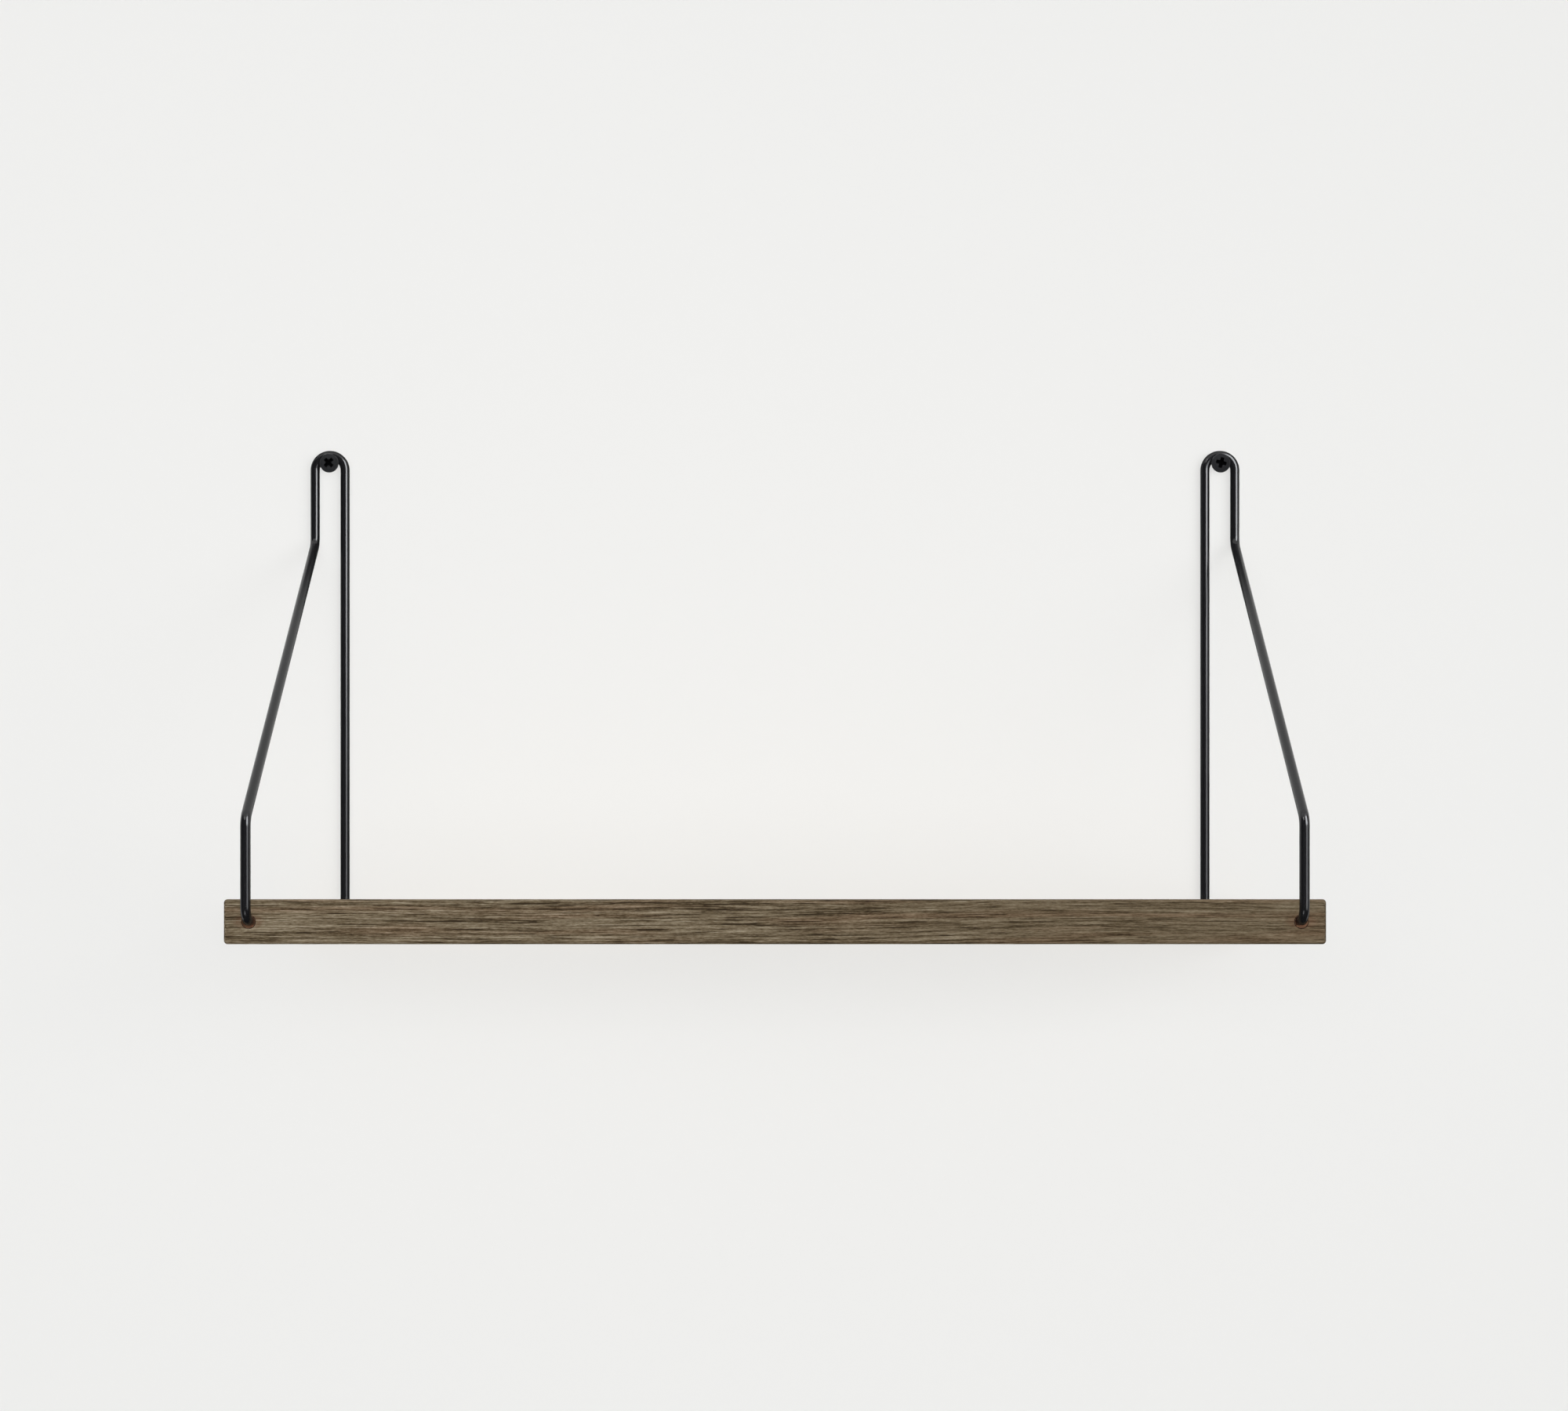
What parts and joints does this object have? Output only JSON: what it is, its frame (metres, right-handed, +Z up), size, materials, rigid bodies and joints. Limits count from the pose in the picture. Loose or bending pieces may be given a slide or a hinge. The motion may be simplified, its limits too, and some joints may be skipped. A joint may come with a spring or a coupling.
{
  "type": "wall shelf",
  "caption": "Wall shelf: an oiled oak board carried by bent black wire hangers that loop over wall screws and lift off them.",
  "frame": {"origin": "on the wall's face, midway between the axes of the two wall screws", "axes": "+X to the right along the wall, +Y into the wall, +Z up"},
  "size_m": [0.6, 0.2659, 0.3045],
  "materials": {
    "oiled_oak": "dark oil, satin",
    "black_wire": "black lacquer, gloss",
    "black_screw": "black, satin"
  },
  "bodies": {
    "screws": {"wall_screws": "black_screw"},
    "shelf": {"board_stave_1": "oiled_oak", "board_stave_2": "oiled_oak", "board_stave_3": "oiled_oak", "board_stave_4": "oiled_oak", "board_stave_5": "oiled_oak", "hanger_left": "black_wire", "hanger_right": "black_wire"}
  },
  "joints": [
    {"name": "lift_off", "type": "slide", "parent": "screws", "child": "shelf", "axis": [0, -0.2588, 0.9659], "range_m": [0, 0.04]}
  ]
}
